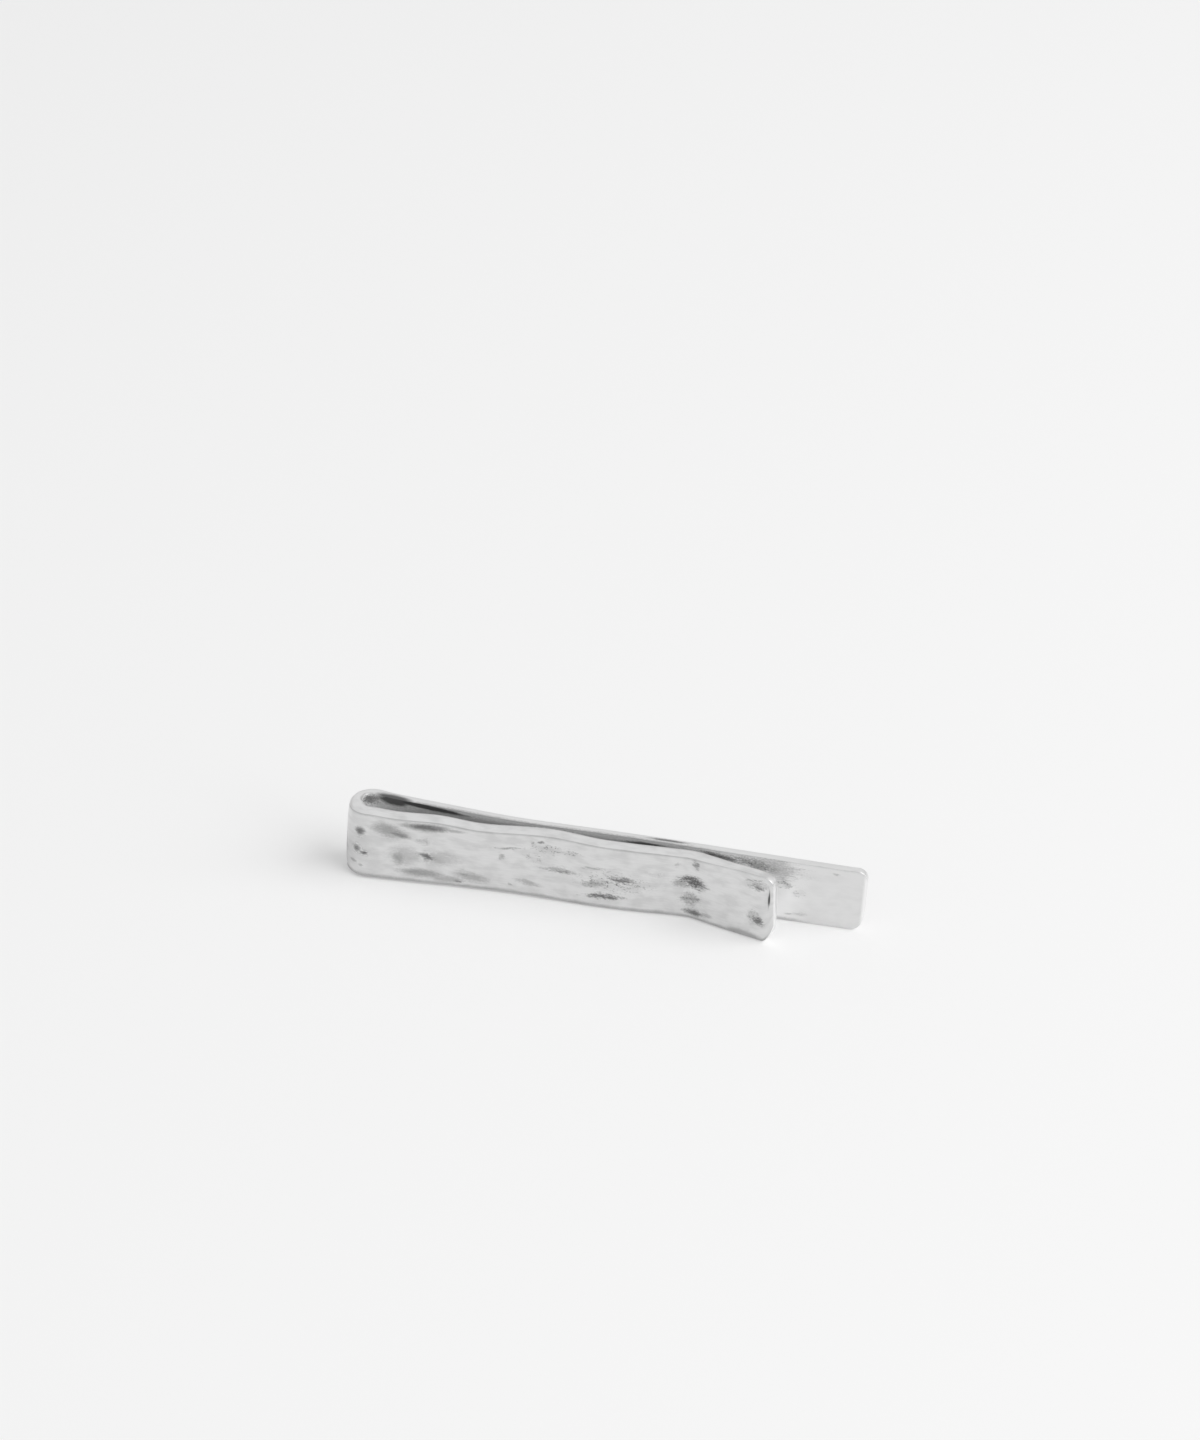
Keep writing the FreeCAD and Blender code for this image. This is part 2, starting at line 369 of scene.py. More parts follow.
MARKS[Surface.FRONT_FACE] = (
    # Painted shade: a dark band down the bend's left edge, standing for the floor's shadow seen in it.
    Mark(-27.35, 3.0, 0.42, 2.6, dark=0.4, sink=0.0, rub=0.3),
    Mark(-25.5, 3.6, 1.7, 2.3, dark=0.15, sink=0.0, rub=0.3),
    Mark(-25.4, 5.6, 0.62, 0.58, dark=0.85, rub=0.4),
    Mark(-25.7, 3.45, 0.52, 0.46, dark=0.82, rub=0.4),
    Mark(-24.9, 3.1, 0.4, 0.26, dark=0.95, rub=0.4),
    Mark(-26.1, 1.8, 0.45, 0.27, dark=0.45, rub=0.4),
    Mark(-25.3, 1.55, 0.34, 0.18, dark=0.42, rub=0.4),
    Mark(-22.3, 6.05, 2.1, 0.95, dark=0.55, lean=-0.12, rub=0.4),
    Mark(-21.3, 5.75, 1.4, 0.45, dark=0.7, lean=-0.15, rub=0.4),
    Mark(-18.3, 7.0, 2.8, 0.55, dark=0.86, rub=0.3),
    Mark(-15.6, 6.95, 1.5, 0.22, dark=0.42, rub=0.4),
    Mark(-21.2, 3.0, 0.85, 0.95, dark=0.5, rub=0.4),
    Mark(-20.6, 3.3, 1.9, 1.4, dark=0.3, rub=0.4),
    Mark(-18.3, 3.45, 0.95, 0.43, dark=0.88, lean=-0.15, rub=0.6),
    Mark(-17.1, 3.4, 2.5, 0.95, dark=0.32, rub=0.5),
    Mark(-18.9, 1.42, 2.8, 0.55, dark=0.56, lean=-0.03, rub=0.4),
    Mark(-16.2, 1.0, 2.2, 0.48, dark=0.42, rub=0.4),
    Mark(-13.6, 1.57, 2.1, 0.7, dark=0.44, lean=-0.15, rub=0.5),
    Mark(-14.2, 1.75, 0.7, 0.2, dark=0.62, lean=-0.1, rub=0.5),
    Mark(-14.9, 0.86, 0.45, 0.18, dark=0.8, rub=0.5),
    Mark(-18.6, 5.3, 1.0, 0.4, dark=0.25, speckle=0.4),
    Mark(-7.6, 1.8, 1.55, 0.34, dark=0.4, lean=-0.1, rub=0.7),
    Mark(-9.4, 1.36, 0.21, 0.18, dark=0.35),
    Mark(-9.4, 5.73, 1.8, 0.1, dark=0.5, speckle=1.0, lean=0.12),
    Mark(-10.4, 4.55, 0.34, 0.39, dark=0.45, speckle=0.8),
    Mark(-7.3, 6.7, 0.32, 0.26, dark=0.4, speckle=0.6),
    Mark(-6.1, 7.0, 0.48, 0.16, dark=0.8),
    Mark(-5.3, 6.2, 2.0, 0.5, dark=0.15, speckle=0.9),
    Mark(-3.1, 6.15, 0.93, 0.28, dark=0.2, speckle=0.9),
    Mark(-7.0, 4.9, 1.05, 0.44, dark=0.1, speckle=0.6),
    Mark(-4.3, 3.85, 2.0, 0.39, dark=0.45, speckle=0.7),
    Mark(-3.7, 3.7, 0.8, 0.16, dark=0.7),
    Mark(-0.4, 4.72, 1.7, 0.14, dark=0.42, lean=0.1),
    Mark(1.6, 3.35, 3.3, 0.97, dark=0.15, speckle=1.0),
    Mark(2.3, 3.75, 1.5, 0.52, dark=0.78, speckle=0.6, lean=0.05),
    Mark(-0.75, 2.85, 1.4, 0.4, dark=0.5, speckle=1.0, lean=0.05),
    Mark(0.55, 1.46, 2.3, 0.34, dark=0.85, lean=0.07),
    Mark(9.85, 4.5, 1.65, 0.75, dark=0.92, lean=-0.1),
    Mark(8.7, 4.2, 1.2, 0.5, dark=0.45, speckle=0.6),
    Mark(10.0, 6.75, 0.33, 0.6, dark=0.6, speckle=0.3),
    Mark(8.2, 6.35, 0.36, 0.24, dark=0.3, speckle=0.6),
    Mark(9.5, 2.4, 1.05, 0.8, dark=0.5, speckle=0.9),
    Mark(10.2, 2.5, 0.4, 0.32, dark=0.65),
    Mark(10.0, 0.92, 1.35, 0.4, dark=0.85, lean=-0.05, rub=0.6),
    Mark(11.4, 1.0, 0.83, 0.23, dark=0.4, rub=0.6),
    Mark(5.9, 4.85, 1.05, 0.36, dark=0.12, speckle=0.3),
    Mark(16.3, 7.02, 0.95, 0.1, dark=0.6, lean=0.37),
    Mark(16.6, 6.5, 0.7, 0.15, dark=0.65, lean=0.3),
    Mark(16.95, 6.25, 0.7, 0.2, dark=0.72, lean=0.22),
    Mark(17.1, 6.0, 0.42, 0.09, dark=0.5, lean=0.22),
    Mark(16.9, 6.6, 1.0, 0.5, dark=0.3, speckle=0.7, lean=0.25),
    # Painted shade: a dark band along the lower edge under the front tip's raised lip.
    Mark(15.4, 0.3, 2.3, 0.5, dark=0.46, sink=0.0, rub=0.2, solid=1.2),
    Mark(18.13, 5.35, 0.1, 1.0, dark=1.0, sink=0.0, rub=0.0, solid=1.5),
    Mark(17.1, 2.35, 0.8, 0.6, dark=0.82, lean=-0.25),
    Mark(16.5, 2.75, 0.8, 0.9, dark=0.36, speckle=0.6),
)

MARKS[Surface.GAP_FACE] = (
    Mark(-25.3, 7.35, 1.15, 0.75, dark=0.78, speckle=0.8),
    Mark(-22.6, 7.65, 1.9, 0.6, dark=0.95, rub=0.3, solid=1.4),
    Mark(-19.0, 7.58, 4.8, 0.3, dark=1.0, lean=-0.06, rub=0.2, solid=1.4),
    Mark(4.2, 6.97, 2.5, 0.21, dark=0.92, rub=0.3, solid=1.3),
    Mark(11.8, 6.7, 2.1, 0.46, dark=0.92, lean=-0.14, rub=0.6),
    Mark(13.1, 6.4, 1.2, 0.45, dark=0.85, lean=-0.12, rub=0.8),
    Mark(15.9, 6.3, 3.0, 0.7, dark=0.68, speckle=1.0, lean=-0.17),
    Mark(17.5, 6.0, 3.2, 1.5, dark=0.42, speckle=0.5, rub=0.8),
    Mark(18.9, 4.5, 1.1, 0.46, dark=0.42, speckle=1.0),
    Mark(20.6, 3.5, 0.78, 0.44, dark=0.12, speckle=0.6),
    Mark(20.1, 6.42, 1.2, 0.12, dark=0.38, speckle=0.6, lean=0.05),
    Mark(24.3, 6.5, 0.55, 0.12, dark=0.35, speckle=0.3),
    Mark(19.6, 0.9, 0.8, 0.12, dark=0.45, speckle=0.3),
    Mark(20.8, 1.0, 0.9, 0.18, dark=0.2, speckle=0.3),
)

MARKS[Surface.REAR_EDGE] = (
    Mark(-25.85, 1.0, 0.4, 0.45, dark=0.6, rub=0.2),
    Mark(-22.6, 1.0, 2.2, 0.95, dark=0.96, rub=0.2, solid=1.3),
    Mark(6.6, 0.3, 2.4, 0.42, dark=0.85, rub=0.4, solid=1.2),
)


@dataclass(frozen=True)
class Silver:
    """A worn silver finish: clean metal, the shade it dulls to, a brighter burnished metal that also paints
    highlights, and the oxide left on it, which also paints lines and patches of shade.
    """

    name: str
    clean: Grey = (0.76, 0.76, 0.76)
    dull: Grey = (0.64, 0.64, 0.64)
    polished: Grey = (0.92, 0.92, 0.92)
    oxide: Grey = (0.08, 0.08, 0.08)
    gap: Grey = (0.8, 0.8, 0.8)
    clean_roughness: float = 0.3
    oxide_roughness: float = 0.5
    oxide_metallic: float = 0.4
    gap_metallic: float = 0.2
    brushing: float = 0.06
    calm: float = 0.35
    bump_depth: float = 0.02 * MM


HAMMERED = Silver("hammered_silver")
SATIN = Silver("satin_silver", brushing=0.04)


@dataclass(frozen=True)
class Grain:
    """Cloudy noise on the strip: its lengths along and across, its range, and its detail."""

    along: float
    across: float
    low: float = 0.32
    high: float = 0.68
    detail: float = 2.0


class Graph:
    """A short way to write shader nodes in a node tree."""

    def __init__(self, tree: bpy.types.NodeTree) -> None:
        """Write into this tree."""
        self.tree = tree

    def node(self, kind: str, **settings: object) -> bpy.types.Node:
        """Add a node and set its properties.

        Args:
            kind: The node's type.
            settings: Its properties by name.

        Returns:
            The node.
        """
        made = self.tree.nodes.new(kind)
        for name, value in settings.items():
            setattr(made, name, value)
        return made

    def feed(self, socket: bpy.types.NodeSocket, value: object) -> None:
        """Link a socket, or set it where the value is a plain one.

        Args:
            socket: The socket to feed.
            value: Another socket, or a plain value.
        """
        if isinstance(value, bpy.types.NodeSocket):
            self.tree.links.new(value, socket)
        else:
            socket.default_value = value

    def math(self, operation: str, *values: object) -> bpy.types.NodeSocket:
        """Join values with a Math node.

        Args:
            operation: The node's operation.
            values: Sockets or numbers, in the order of its inputs.

        Returns:
            The result.
        """
        made = self.node("ShaderNodeMath", operation=operation)
        for socket, value in zip(made.inputs, values):
            self.feed(socket, value)
        return made.outputs[0]

    def summed(self, *terms: tuple[float, object]) -> bpy.types.NodeSocket:
        """Sum values, each with its share.

        Args:
            terms: Pairs of a share and a value.

        Returns:
            The sum.
        """
        total = self.math("MULTIPLY", terms[0][1], terms[0][0])
        for share, value in terms[1:]:
            total = self.math("MULTIPLY_ADD", value, share, total)
        return total

    def step(self, value: object, low: float, high: float) -> bpy.types.NodeSocket:
        """Take a smooth step of a value.

        Args:
            value: The value.
            low: Where the step starts, at 0.
            high: Where it ends, at 1.

        Returns:
            The step.
        """
        made = self.node("ShaderNodeMapRange", interpolation_type="SMOOTHSTEP")
        for socket, given in zip(made.inputs, (value, low, high)):
            self.feed(socket, given)
        return made.outputs[0]

    def noise(self, place: object, grain: Grain) -> bpy.types.NodeSocket:
        """Add cloudy noise on the strip.

        Args:
            place: Place on the strip laid flat.
            grain: The noise's values.

        Returns:
            The noise, from 0 to 1.
        """
        scaled = self.node("ShaderNodeVectorMath", operation="MULTIPLY")
        self.feed(scaled.inputs[0], place)
        self.feed(scaled.inputs[1], (1 / grain.along, 1 / grain.across, 1.0))
        made = self.node("ShaderNodeTexNoise", noise_dimensions="3D")
        self.feed(made.inputs["Vector"], scaled.outputs[0])
        self.feed(made.inputs["Scale"], 1.0)
        self.feed(made.inputs["Detail"], grain.detail)
        return made.outputs["Fac"]

    def parted(self, place: object, grain: Grain) -> bpy.types.NodeSocket:
        """Cloudy noise drawn apart over its range, so that it has clear lights and darks."""
        return self.step(self.noise(place, grain), grain.low, grain.high)

    def mix(self, share: object, first: object, second: object) -> bpy.types.NodeSocket:
        """Mix two colours.

        Args:
            share: Share of the second one.
            first: A colour or a socket.
            second: Another.

        Returns:
            The mixed colour.
        """
        made = self.node("ShaderNodeMix", data_type="RGBA")
        self.feed(made.inputs["Factor"], share)
        for name, value in (("A", first), ("B", second)):
            socket = next(s for s in made.inputs if s.name == name and s.type == "RGBA")
            self.feed(socket, (*value, 1.0) if isinstance(value, tuple) else value)
        return next(s for s in made.outputs if s.type == "RGBA")

    def blend(self, share: object, first: object, second: object) -> bpy.types.NodeSocket:
        """Mix two values.

        Args:
            share: Share of the second one.
            first: A number or a socket.
            second: Another.

        Returns:
            The mixed value.
        """
        made = self.node("ShaderNodeMix", data_type="FLOAT")
        self.feed(made.inputs["Factor"], share)
        floats = [s for s in made.inputs if s.type == "VALUE" and s.name in ("A", "B")]
        self.feed(floats[0], first)
        self.feed(floats[1], second)
        return next(s for s in made.outputs if s.type == "VALUE")

    def layer(self, layer: Layer) -> bpy.types.NodeSocket:
        """Read a value kept on the skin's points."""
        made = self.node("ShaderNodeAttribute", attribute_name=layer.value)
        return made.outputs["Vector" if layer is Layer.PLACE else "Fac"]

    def group(self, tree: bpy.types.NodeTree, **inputs: object) -> bpy.types.Node:
        """Place a group.

        Args:
            tree: The group.
            inputs: Sockets or plain values for its inputs, by name.

        Returns:
            The group's node.
        """
        made = self.node("ShaderNodeGroup", node_tree=tree)
        for name, value in inputs.items():
            self.feed(made.inputs[name], value)
        return made


class Group(Graph):
    """A shader group while it is written, with its input and output nodes."""

    def __init__(self, name: str, inputs: tuple[str, ...], outputs: tuple[str, ...]) -> None:
        """Start a group that takes a place on the strip and some values, and puts values out.

        Args:
            name: The group's name.
            inputs: Names of the values that it takes.
            outputs: Names of the values that it puts out.
        """
        super().__init__(bpy.data.node_groups.new(name, "ShaderNodeTree"))
        sockets = self.tree.interface
        sockets.new_socket("Place", in_out="INPUT", socket_type="NodeSocketVector")
        for way, names in (("INPUT", inputs), ("OUTPUT", outputs)):
            for socket in names:
                sockets.new_socket(socket, in_out=way, socket_type="NodeSocketFloat")
        self.given = self.node("NodeGroupInput").outputs
        self.made = self.node("NodeGroupOutput").inputs


@dataclass(frozen=True)
class Brushing:
    """Soft clouds and fine lines along the strip, calmer where it isn't hammered."""

    cloud: Grain = Grain(2.0 * MM, 1.0 * MM, low=0.3, high=0.62)
    line: Grain = Grain(1.4 * MM, 0.15 * MM, low=0.3, high=0.7)
    hairline: Grain = Grain(2.5 * MM, 0.06 * MM)
    cloud_share: float = 0.75
    line_share: float = 0.25
    hairline_height: float = 1.0
    line_height: float = 0.5

    def group(self) -> bpy.types.NodeTree:
        """Write the effect as a shader group.

        Returns:
            The group, which puts out a shade and a height.
        """
        group = Group("lengthwise_brushing", ("Hammered", "Calm"), ("Shade", "Height"))
        place = group.given["Place"]
        cloud, line = group.parted(place, self.cloud), group.noise(place, self.line)
        clear = group.step(line, self.line.low, self.line.high)
        bright = group.summed((self.cloud_share, cloud), (self.line_share, clear))
        strength = group.blend(group.given["Hammered"], group.given["Calm"], 1.0)
        shade = group.math("MULTIPLY", group.math("SUBTRACT", 1.0, bright), strength)
        group.feed(group.made["Shade"], shade)
        hairline = group.noise(place, self.hairline)
        height = group.summed((self.hairline_height, hairline), (self.line_height, line))
        group.feed(group.made["Height"], height)
        return group.tree


@dataclass(frozen=True)
class RubbedOxideAndShade:
    """Dark oxide, and painted shade laid the same way, broken into streaks and grains where it was rubbed thin."""

    streak: Grain = Grain(1.5 * MM, 0.18 * MM)
    rag: Grain = Grain(0.7 * MM, 0.4 * MM)
    grit: Grain = Grain(0.24 * MM, 0.17 * MM, detail=1.0)
    streak_share: float = 0.32
    rag_share: float = 0.3
    grit_share: float = 0.38
    rubbed_middle: float = 0.5
    rubbed_from: tuple[float, float] = (0.03, 0.4)
    fleck_share: float = 0.95
    cover_share: float = 1.1
    stain_from: tuple[float, float] = (0.1, 1.2)
    grit_dots: tuple[float, float] = (0.45, 0.95)
    rag_dots: tuple[float, float] = (0.35, 0.75)

    def group(self) -> bpy.types.NodeTree:
        """Write the effect as a shader group.

        Returns:
            The group, which puts out the mask of oxide and painted shade.
        """
        group = Group("rubbed_oxide", ("Cover", "Tone", "Rub", "Speckle"), ("Mask",))
        place, cover = group.given["Place"], group.given["Cover"]
        streak, rag, grit = (group.parted(place, g) for g in (self.streak, self.rag, self.grit))
        rubbed = group.summed(
            (self.streak_share, streak), (self.rag_share, rag), (self.grit_share, grit)
        )
        flecks = group.math("SUBTRACT", rubbed, self.rubbed_middle)
        flecks = group.math("MULTIPLY", flecks, group.step(cover, *self.rubbed_from))
        flecks = group.math("MULTIPLY", flecks, group.given["Rub"])
        filled = group.summed((self.fleck_share, flecks), (self.cover_share, cover))
        stain = group.math("MULTIPLY", group.step(filled, *self.stain_from), group.given["Tone"])
        dots = group.math(
            "MULTIPLY", group.step(grit, *self.grit_dots), group.step(rag, *self.rag_dots)
        )
        dots = group.math("MULTIPLY", dots, group.given["Speckle"])
        group.feed(group.made["Mask"], group.math("MAXIMUM", stain, dots))
        return group.tree


class Effects:
    """Node groups that the finishes share, and the materials made with them."""

    def __init__(self) -> None:
        """Build the groups."""
        self.brushing = Brushing().group()
        self.oxide = RubbedOxideAndShade().group()
        self.materials: dict[str, bpy.types.Material] = {}

    def material(self, finish: Silver) -> bpy.types.Material:
        """Give the material of a finish, made the first time it is asked for.

        Args:
            finish: The finish's values.

        Returns:
            The material.
        """
        if finish.name not in self.materials:
            self.materials[finish.name] = self._made(finish)
        return self.materials[finish.name]

    def _made(self, finish: Silver) -> bpy.types.Material:
        """Make the material of a finish.

        Args:
            finish: The finish's values.

        Returns:
            The material.
        """
        made = bpy.data.materials.new(finish.name)
        made.use_nodes = True
        graph = Graph(made.node_tree)
        shader = made.node_tree.nodes["Principled BSDF"]
        place, gap = graph.layer(Layer.PLACE), graph.layer(Layer.DULL)
        brushing = graph.group(
            self.brushing, Place=place, Hammered=graph.layer(Layer.HAMMERED), Calm=finish.calm
        ).outputs
        oxide = graph.group(
            self.oxide,
            Place=place,
            Cover=graph.layer(Layer.COVER),
            Tone=graph.layer(Layer.TONE),
            Rub=graph.layer(Layer.RUB),
            Speckle=graph.layer(Layer.SPECKLE),
        ).outputs["Mask"]
        metal = graph.mix(brushing["Shade"], finish.clean, finish.dull)
        # Brighter metal here is partly real wear and partly painted light: highlights on the tips' rims and a lift
        # over the gap's shade.
        metal = graph.mix(graph.layer(Layer.POLISH), metal, finish.polished)
        metal = graph.mix(gap, metal, finish.gap)
        # The oxide mask also carries painted shade: arris lines, the front tip's corner, the gap's depth and two
        # bands.
        graph.feed(shader.inputs["Base Color"], graph.mix(oxide, metal, finish.oxide))
        dulled = graph.math("MAXIMUM", oxide, gap)
        rough = graph.blend(dulled, finish.clean_roughness, finish.oxide_roughness)
        graph.feed(shader.inputs["Roughness"], rough)
        bare = graph.blend(gap, 1.0, finish.gap_metallic)
        graph.feed(shader.inputs["Metallic"], graph.blend(oxide, bare, finish.oxide_metallic))
        bump = graph.node("ShaderNodeBump")
        graph.feed(bump.inputs["Strength"], finish.brushing)
        graph.feed(bump.inputs["Distance"], finish.bump_depth)
        graph.feed(bump.inputs["Height"], brushing["Height"])
        graph.feed(shader.inputs["Normal"], bump.outputs["Normal"])
        return made


class Gauge:
    """Feels for the skin of one CAD node with straight probes."""

    def __init__(self, node: str) -> None:
        """Take the node's facets as they stand in the frame.

        Args:
            node: The node's name.
        """
        mesh = frame["nodes"][node].data
        corners = [vertex.co.copy() for vertex in mesh.vertices]
        self.tree = BVHTree.FromPolygons(corners, [list(face.vertices) for face in mesh.polygons])
        self.low, self.high = (np.array(corner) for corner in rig.box(node))

    def probe(self, start: np.ndarray, way: np.ndarray) -> float:
        """Distance from a point to the skin along a direction, or not a number where it misses."""
        reach = self.tree.ray_cast(Vector(start), Vector(way))[3]
        return math.nan if reach is None else reach


@dataclass
class Run:
    """A stretch of the strip: one row per station, in order from the front tip to the rear tip."""

    place: np.ndarray
    along: np.ndarray
    outward: np.ndarray
    low: np.ndarray
    top: np.ndarray
    thick_low: np.ndarray
    thick_top: np.ndarray
    relief: np.ndarray
    crown: np.ndarray
    inset_outer: np.ndarray
    inset_inner: np.ndarray
    skew: np.ndarray

    def turned_round(self) -> "Run":
        """Walk the same stretch the other way.

        Returns:
            The stretch turned round.
        """
        rows = {name: values[::-1].copy() for name, values in vars(self).items()}
        rows["along"] = -rows["along"]
        rows["skew"] = -rows["skew"]
        return Run(**rows)

    def then(self, other: "Run") -> "Run":
        """This stretch followed by another whose first station is this one's last."""
        return Run(**{n: np.concatenate([v, getattr(other, n)[1:]]) for n, v in vars(self).items()})

    def __len__(self) -> int:
        """Number of stations."""
        return len(self.place)


@dataclass(frozen=True)
class Outline:
    """The strip's cross-section: two faces, with a crowned edge above and below them."""

    outer_crown: float = 0.25
    inner_crown: float = 0.13
    fullness: float = 3.0
    face_rows: int = 52
    edge_rows: int = 14
    arris_crowding: float = 0.45
    margin_share: float = 0.062

    def shares(self) -> np.ndarray:
        """Heights of the face rows as shares of the face, closer together at the arrises."""
        even = np.linspace(0.0, 1.0, self.face_rows + 1)
        return even + self.arris_crowding * ((1 - np.cos(math.pi * even)) / 2 - even)

    def sweeps(self) -> np.ndarray:
        """Places of the edge rows from one arris (-1) to the other (1), without the arrises."""
        even = np.linspace(-1.0, 1.0, self.edge_rows + 1)[1:-1]
        return np.sin(math.pi / 2 * even)

    def sides(self) -> np.ndarray:
        """Tell which side each point of the outline belongs to.

        Returns:
            The sides' numbers, in the order of the points.
        """
        faces, edges = self.face_rows + 1, self.edge_rows - 1
        counts = {Side.OUTER: faces, Side.TOP: edges, Side.INNER: faces, Side.LOWER: edges}
        return np.concatenate([np.full(count, side.value) for side, count in counts.items()])

    def points(self, run: Run) -> np.ndarray:
        """Lay the outline on every station.

        Args:
            run: The stations.

        Returns:
            Points, one row per station and one column per point of the outline.
        """
        share = self.shares()[None, :]
        thick = run.thick_low[:, None] * (1 - share) + run.thick_top[:, None] * share
        outer = thick - run.relief - run.inset_outer[:, None]
        inner = np.broadcast_to(run.inset_inner[:, None], outer.shape)
        crown = (run.crown * (run.thick_top - run.inset_outer - run.inset_inner))[:, None]
        low, top = run.low[:, None], run.top[:, None]
        outer_rise, inner_rise = (
            low + part * crown + share * (top - low - 2 * part * crown)
            for part in (self.outer_crown, self.inner_crown)
        )
        sweep = self.sweeps()[None, :]
        step = (sweep + 1) / 2
        half_crown = np.where(sweep < 0, self.outer_crown, self.inner_crown)
        drop = crown * half_crown * np.abs(sweep) ** self.fullness
        over = outer[:, -1:] + (inner[:, -1:] - outer[:, -1:]) * step
        under = inner[:, :1] + (outer[:, :1] - inner[:, :1]) * step
        offset = np.concatenate([outer, over, inner[:, ::-1], under], 1)
        rise = np.concatenate([outer_rise, top - drop, inner_rise[:, ::-1], low + drop[:, ::-1]], 1)
        slide = run.skew[:, None] * (rise - (low + top) / 2)
        return (
            run.place[:, None, :]
            + offset[..., None] * run.outward[:, None, :]
            + rise[..., None] * UP
            + slide[..., None] * run.along[:, None, :]
        )


@dataclass(kw_only=True)
class Skin:
    """The folded strip's skin: a grid of points from tip to tip, and the values on them."""

    outline: Outline
    front: Run
    bend: Run
    rear: Run
    rim_share: float = 0.1
    apex_fade: float = 1.5 * MM
    planish: Ripple = Ripple(seed=21, longest=6.0, shortest=1.6, stretch=1.3)
    planish_depth: float = 0.012 * MM
    stray_along: Ripple = Ripple(seed=5, longest=3.0, shortest=0.6)
    stray_across: Ripple = Ripple(seed=8, longest=2.4, shortest=0.5)
    stray_reach: tuple[float, float] = (0.2, 0.07)
    gap_end: float = 19.0 * MM
    gap_fade: float = 14.0 * MM
    # Painted shade down into the gap: how deep it reaches, and where it starts and rises near the bend.
    gap_shade_depth: float = 0.9 * MM
    gap_shade_start: float = -26.0 * MM
    gap_shade_rise: float = 9.0 * MM
    gap_cover: float = 0.4
    gap_tone: float = 0.4
    gap_rub: float = 0.5
    crown_cover: float = 0.7
    crown_tone: float = 0.6
    crown_start: float = 0.25
    # Inner faces brightened between these: partly rubbed bright by cloth, partly painted light over the narrow gap's
    # shade.
    wear_and_light_start: float = -6.0 * MM
    wear_and_light_end: float = 22.0 * MM
    wear_and_light_fade: float = 4.5 * MM
    # Painted shade: a dark line under the upper arris for the dark reflection where the edge turns, and one along the
    # lower arris for the shaded underside.
    top_arris_shade: ArrisShadeLine = ArrisShadeLine(
        width=0.24 * MM, dark=0.32, fade_start=9.0 * MM, fade_over=6.0 * MM, faded=0.6
    )
    low_arris_shade: ArrisShadeLine = ArrisShadeLine(
        width=0.36 * MM, dark=0.45, fade_start=19.0 * MM, fade_over=4.0 * MM, faded=0.15
    )
    painted_shade_rub: float = 0.3
    shade_free_tip: float = 1.2 * MM
    # Painted shade over the front tip's top corner, which dims the lamp's highlight there.
    corner_shade_reach: float = 1.5 * MM
    corner_shade_tone: float = 0.3
    # Painted highlights: a thin bright ridge at the front tip, a bright line along its lower corner, and a bright rim
    # at the rear tip.
    front_rim_highlight: float = 0.06 * MM
    lower_rim_highlight: float = 0.8 * MM
    rear_rim_highlight: float = 0.3 * MM
    rear_end_highlight: float = 0.25
    run: Run = field(init=False)
    cuts: tuple[int, int, int, int] = field(init=False)
    points: np.ndarray = field(init=False)
    normals: np.ndarray = field(init=False)
    layers: dict[Layer, np.ndarray] = field(init=False)

    def __post_init__(self) -> None:
        """Join the stretches, lay the skin on them and work out what is on it."""
        ends = np.cumsum([len(run) - 1 for run in (self.front, self.bend, self.rear)])
        self.cuts = (0, *(int(end) for end in ends))
        self.run = self.front.then(self.bend).then(self.rear)
        self.points = self.outline.points(self.run)
        self._dent()
        self.normals = self._normals()
        self.layers = {layer: np.zeros(self.points.shape[:2]) for layer in Layer}
        self.layers[Layer.PLACE] = self._places()
        self.layers[Layer.HAMMERED] += self._hammered()[:, None]
        for surface in Surface:
            self._lay_marks(surface)
        self._dull_and_shade_gap()
        self._paint_arris_shade()
        self._polish()

    def _columns(self, side: Side) -> np.ndarray:
        """Columns of one side of the outline."""
        return np.flatnonzero(self.outline.sides() == side.value)

    def _face(self, side: Side) -> Block:
        """Every station of one side."""
        return np.ix_(np.arange(len(self.run)), self._columns(side))

    def _middle_run(self) -> np.ndarray:
        """Distance from the front tip along the middle of the strip's thickness."""
        return run_length(self.run.place + self.run.outward * self.run.thick_top[:, None] / 2)

    def _kept(self, front: bool) -> np.ndarray:
        """Fade marks past the bend's apex.

        Args:
            front: Whether the marks are the front's; if not, they are the rear's.

        Returns:
            How far a mark is kept, one row per station.
        """
        gone = self._middle_run()
        past = gone - gone[(self.cuts[1] + self.cuts[2]) // 2]
        return ease(1 - (past if front else -past) / self.apex_fade)[:, None]

    def _hammered(self) -> np.ndarray:
        """How hammered each station is: fully on the front bar, less and less round the bend."""
        fold, back = self.cuts[1:3]
        return 1 - ease((np.arange(len(self.run)) - fold) / (back - fold))

    def _dent(self) -> None:
        """Press the marks' dents and the hammer's flats into the outer face, as far as the bend."""
        columns = self._columns(Side.OUTER)
        x, z = (self.points[:, columns, axis] / MM for axis in (0, 2))
        depth = np.zeros(x.shape)
        for mark in MARKS[Surface.FRONT_FACE]:
            deep = mark.sink * mark.dark * mark.half_height * MM
            depth = np.maximum(depth, deep * mark.weight(x, z))
        depth *= self._kept(front=True)
        along = run_length(self.run.place)[:, None] / MM
        flats = self.planish_depth * np.clip(1 + self.planish.at(along, z), 0.0, 2.0)
        depth += flats * self._hammered()[:, None]
        share = self.outline.shares()
        rim = ease(np.minimum(share, 1 - share) / self.rim_share)[None, :]
        self.points[:, columns] -= (depth * rim)[..., None] * self.run.outward[:, None, :]

